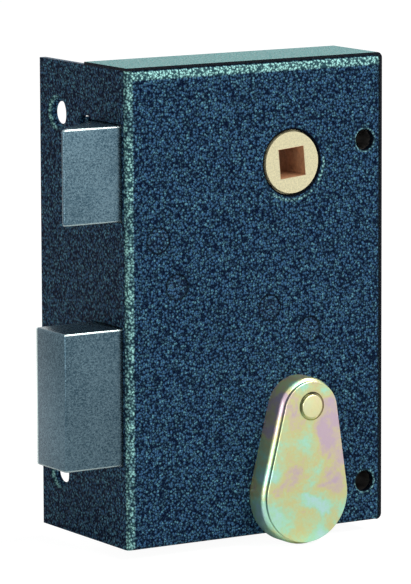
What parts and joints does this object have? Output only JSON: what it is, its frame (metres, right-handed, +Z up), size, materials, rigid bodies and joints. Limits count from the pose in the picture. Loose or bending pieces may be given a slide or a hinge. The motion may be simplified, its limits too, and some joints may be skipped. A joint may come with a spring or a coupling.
{
  "type": "rim lock",
  "caption": "Surface-mounted rim lock with a bent forend, sprung bevelled latch bolt, square dead bolt, spindle hub and a swinging pear-shaped key cover.",
  "frame": {"origin": "where the spindle axis meets the door's face, at the back of the case", "axes": "+X away from the forend and the bolts, +Y into the door, +Z up; the room side faces -Y"},
  "size_m": [0.1034, 0.0572, 0.1383],
  "materials": {
    "enamel": "dark blue hammertone enamel",
    "bolt_steel": "satin ground steel",
    "zinc_yellow": "yellow passivated zinc, iridescent",
    "hub_brass": "pale cast brass, worn flat",
    "inner_steel": "oiled dark steel",
    "spring_steel": "blued spring wire"
  },
  "bodies": {
    "case": {"case_plate": "enamel", "rim_strip": "enamel", "back_cover": "enamel", "cover_screws": "zinc_yellow", "latch_spring": "spring_steel", "spring_stop_pillar": "inner_steel", "latch_spring_post": "inner_steel", "detent_post": "inner_steel", "bolt_guide_pillar": "inner_steel", "detent_spring": "spring_steel", "screw_sleeves": "inner_steel", "front_ward": "inner_steel", "rear_ward": "inner_steel", "key_rose": "zinc_yellow", "cover_pin": "zinc_yellow"},
    "latch": {"latch_head": "bolt_steel", "latch_tail": "inner_steel", "latch_rivets": "bolt_steel"},
    "hub": {"follower": "hub_brass"},
    "dead_bolt": {"dead_bolt_head": "bolt_steel", "dead_bolt_tail": "inner_steel", "dead_bolt_rivets": "bolt_steel"},
    "cover": {"key_cover": "zinc_yellow"}
  },
  "joints": [
    {"name": "latch_slide", "type": "slide", "parent": "case", "child": "latch", "axis": [1, 0, 0], "range_m": [0, 0.01776], "deforming": ["latch_spring"]},
    {"name": "hub_turn", "type": "hinge", "parent": "case", "child": "hub", "pos_m": [0, 0, 0], "axis": [0, 1, 0], "range_deg": [0, 55], "stiffness_Nm_per_rad": 0.05, "springref_deg": -34.38},
    {"name": "bolt_slide", "type": "slide", "parent": "case", "child": "dead_bolt", "axis": [1, 0, 0], "range_m": [0, 0.0179], "deforming": ["detent_spring"]},
    {"name": "cover_swing", "type": "hinge", "parent": "case", "child": "cover", "pos_m": [0.00135, -0.0312, -0.06874], "axis": [0, 1, 0], "range_deg": [-110, 110]}
  ],
  "couplings": [
    {"joint": "latch_slide", "follows": "hub_turn", "m_per_rad": 0.0185}
  ]
}
